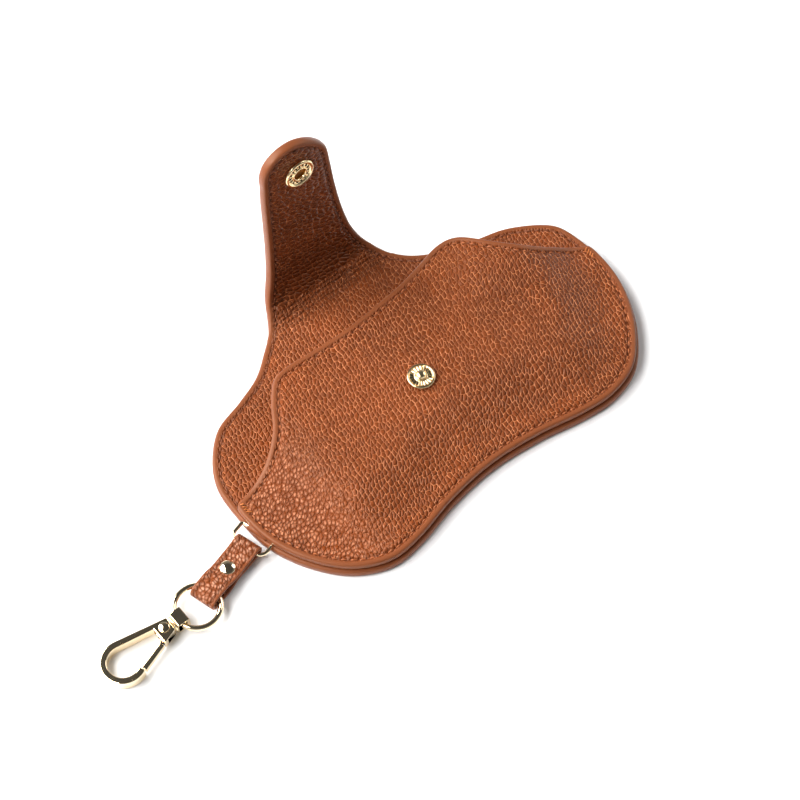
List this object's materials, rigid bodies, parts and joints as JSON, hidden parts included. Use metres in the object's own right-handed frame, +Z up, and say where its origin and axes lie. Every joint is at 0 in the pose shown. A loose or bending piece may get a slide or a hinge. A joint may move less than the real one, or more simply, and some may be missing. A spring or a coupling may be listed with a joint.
{
  "type": "eyeglasses case",
  "caption": "Slim leather slip case for eyeglasses: a sewn pocket with a waisted outline, a snap flap, and a short strap with a ring and a swivel clasp.",
  "frame": {"origin": "on the flat underside, directly below the axis of the snap stud, with the case lying on its back and its flap raised", "axes": "+X along the case, away from the strap; +Y from the pocket's sewn floor to the flap; +Z up, out of the front panel"},
  "size_m": [0.2405, 0.1215, 0.0768],
  "materials": {
    "leather": "pebbled full-grain leather, semi-gloss, with smooth painted edges",
    "lining": "pebbled leather, semi-matt",
    "board": "matt fibre board, hidden between the leathers",
    "gold_metal": "polished pale gold plate",
    "spring_steel": "bright spring steel",
    "thread": "waxed sewing thread",
    "edge_paint": "smooth edge paint, satin"
  },
  "bodies": {
    "case": {"back_outer_leather": "leather", "back_stiffener": "board", "back_lining_leather": "lining", "front_lining_leather": "lining", "front_outer_leather": "leather", "snap_stud": "gold_metal", "snap_stud_rivet": "spring_steel", "ring_tab": "leather"},
    "fold": {"fold_leather": "leather"},
    "flap": {"flap_outer_leather": "leather", "flap_stiffener": "board", "flap_lining_leather": "lining", "snap_socket": "gold_metal", "snap_ring_spring": "spring_steel", "snap_cap": "gold_metal"},
    "d_ring": {"d_ring": "gold_metal"},
    "strap": {"strap_leather": "leather", "strap_rivet_cap": "gold_metal", "strap_rivet_back": "gold_metal"},
    "o_ring": {"o_ring": "gold_metal"},
    "swivel": {"swivel_eye": "gold_metal"},
    "hook": {"hook_body": "gold_metal", "gate_pin": "gold_metal", "gate_spring": "spring_steel"},
    "gate": {"gate_lever": "gold_metal"}
  },
  "joints": [
    {"name": "flap_fold_lower", "type": "hinge", "parent": "case", "child": "fold", "pos_m": [0, 0.05541, 0.0017], "axis": [1, 0, 0], "range_deg": [-38, 45.5]},
    {"name": "flap_fold_upper", "type": "hinge", "parent": "fold", "child": "flap", "pos_m": [0, 0.06256, 0.00749], "axis": [1, 0, 0], "range_deg": [-38, 45.5]},
    {"name": "d_ring_swing", "type": "hinge", "parent": "case", "child": "d_ring", "pos_m": [-0.0799, -0.009, 0.00355], "axis": [-0.2756, 0.9613, 0], "range_deg": [-20, 20]},
    {"name": "strap_swing", "type": "hinge", "parent": "d_ring", "child": "strap", "pos_m": [-0.08692, -0.01101, 0.00355], "axis": [-0.2756, 0.9613, 0], "range_deg": [-60, 60]},
    {"name": "o_ring_swing", "type": "hinge", "parent": "strap", "child": "o_ring", "pos_m": [-0.1067, -0.01668, 0.0035], "axis": [-0.2756, 0.9613, 0], "range_deg": [-30, 30]},
    {"name": "clasp_swing", "type": "hinge", "parent": "o_ring", "child": "swivel", "pos_m": [-0.12125, -0.01865, 0.0035], "axis": [0, 1, 0], "range_deg": [-60, 60]},
    {"name": "clasp_swivel", "type": "hinge", "parent": "swivel", "child": "hook", "pos_m": [-0.12154, -0.01865, 0.0035], "axis": [-0.9993, 0, -0.0384], "continuous": true},
    {"name": "gate_hinge", "type": "hinge", "parent": "hook", "child": "gate", "pos_m": [-0.12714, -0.01865, 0.00329], "axis": [0.0384, 0, -0.9993], "range_deg": [0, 25], "stiffness_Nm_per_rad": 0.02, "springref_deg": -17.19}
  ],
  "couplings": [
    {"joint": "flap_fold_upper", "follows": "flap_fold_lower", "ratio": 1}
  ]
}
